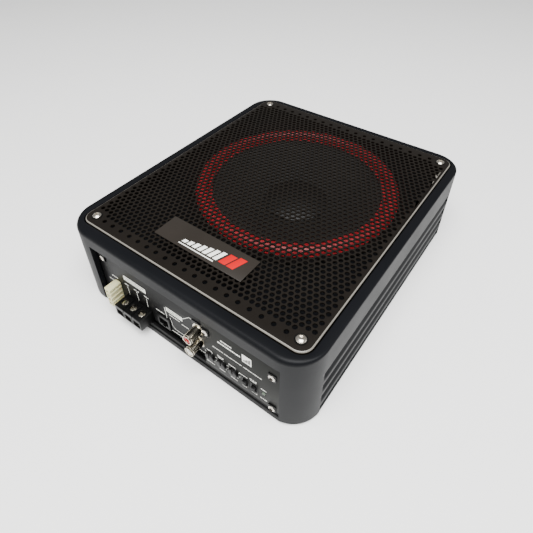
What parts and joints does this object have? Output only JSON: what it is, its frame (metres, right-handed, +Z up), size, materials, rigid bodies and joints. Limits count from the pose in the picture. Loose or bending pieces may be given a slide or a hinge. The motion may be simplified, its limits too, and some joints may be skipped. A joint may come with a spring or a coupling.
{
  "type": "powered car subwoofer",
  "caption": "Flat powered car subwoofer: ribbed black housing, perforated grille with corner screws over a shallow woofer, connector and control panel at the front.",
  "frame": {"origin": "middle of the housing's footprint, on the base plate's underside", "axes": "+X to the right along the connector side, +Y to the back, +Z up through the grille"},
  "size_m": [0.2374, 0.2898, 0.082],
  "materials": {
    "housing_plastic": "satin black ABS with a fine moulded grain",
    "coated_steel": "black coated sheet steel",
    "grille_coat": "powder-coated perforated steel",
    "badge": "black badge with a plain printed pattern",
    "zinc": "zinc-plated steel",
    "nickel": "nickel-plated brass",
    "foam": "black closed-cell foam",
    "surround_rubber": "dark red rubber",
    "cone_paper": "black paper pulp",
    "cap": "black dust cap",
    "copper": "enamelled copper wire",
    "spider_cloth": "resin-stiffened cotton",
    "ferrite": "ferrite",
    "panel_black": "black painted steel with white print",
    "panel_grey": "dark grey painted steel with white print",
    "connector_black": "black moulded connector plastic",
    "nylon": "natural cream nylon",
    "white_plastic": "white plastic",
    "red_plastic": "red plastic",
    "knob": "black knob plastic",
    "lamp": "clear green lamp lens",
    "board": "green circuit board",
    "aluminium": "extruded aluminium",
    "capacitor_sleeve": "dark blue sleeve",
    "wire_red": "red wire insulation",
    "wire_black": "black wire insulation",
    "tag": "brown laminate"
  },
  "bodies": {
    "root": {"housing": "housing_plastic", "base_plate": "coated_steel", "grille": "grille_coat", "badge_plate": "badge", "woofer_basket": "coated_steel", "gasket": "foam", "surround": "surround_rubber", "spider": "spider_cloth", "top_plate": "zinc", "magnet": "ferrite", "yoke": "zinc", "connector_panel": "panel_black", "control_plate": "panel_grey", "terminal_block": "connector_black", "speaker_input_header": "nylon", "remote_jack": "connector_black", "rca_block": "connector_black", "rca_red_barrel": "nickel", "rca_white_barrel": "nickel", "rca_red_insert": "red_plastic", "rca_white_insert": "white_plastic", "power_led": "lamp", "control_board": "board", "amp_board": "board", "heat_sink": "aluminium", "capacitor_1": "capacitor_sleeve", "capacitor_2": "capacitor_sleeve", "toroid_coil": "copper", "speaker_terminal": "tag", "speaker_wire_plus": "wire_red", "speaker_wire_minus": "wire_black", "base_screw_1": "zinc", "grille_screw_1": "zinc", "woofer_screw_1": "coated_steel", "base_screw_2": "zinc", "grille_screw_2": "zinc", "woofer_screw_2": "coated_steel", "base_screw_3": "zinc", "grille_screw_3": "zinc", "woofer_screw_3": "coated_steel", "base_screw_4": "zinc", "grille_screw_4": "zinc", "woofer_screw_4": "coated_steel", "panel_screw_1": "zinc", "panel_screw_2": "zinc", "panel_screw_3": "zinc", "panel_screw_4": "zinc", "panel_screw_5": "zinc", "terminal_screw_1": "nickel", "terminal_screw_2": "nickel", "terminal_screw_3": "nickel"},
    "cone_assembly": {"cone": "cone_paper", "dust_cap": "cap", "voice_coil": "copper"},
    "gain_knob": {"gain_knob": "knob"},
    "crossover_knob": {"crossover_knob": "knob"},
    "bass_boost_knob": {"bass_boost_knob": "knob"},
    "phase_switch": {"phase_switch": "knob"},
    "mode_switch": {"mode_switch": "knob"}
  },
  "joints": [
    {"name": "cone_travel", "type": "slide", "parent": "root", "child": "cone_assembly", "axis": [0, 0, 1], "range_m": [-0.006, 0.006], "stiffness_N_per_m": 3000, "deforming": ["surround", "spider"]},
    {"name": "gain_turn", "type": "hinge", "parent": "root", "child": "gain_knob", "pos_m": [0.0365, -0.1414, 0.026], "axis": [0, 1, 0], "range_deg": [-140, 140]},
    {"name": "crossover_turn", "type": "hinge", "parent": "root", "child": "crossover_knob", "pos_m": [0.0475, -0.1414, 0.026], "axis": [0, 1, 0], "range_deg": [-140, 140]},
    {"name": "bass_boost_turn", "type": "hinge", "parent": "root", "child": "bass_boost_knob", "pos_m": [0.0585, -0.1414, 0.026], "axis": [0, 1, 0], "range_deg": [-140, 140]},
    {"name": "phase_slide", "type": "slide", "parent": "root", "child": "phase_switch", "axis": [0, 0, 1], "range_m": [-0.0015, 0.0015]},
    {"name": "mode_slide", "type": "slide", "parent": "root", "child": "mode_switch", "axis": [0, 0, 1], "range_m": [-0.0015, 0.0015]}
  ]
}
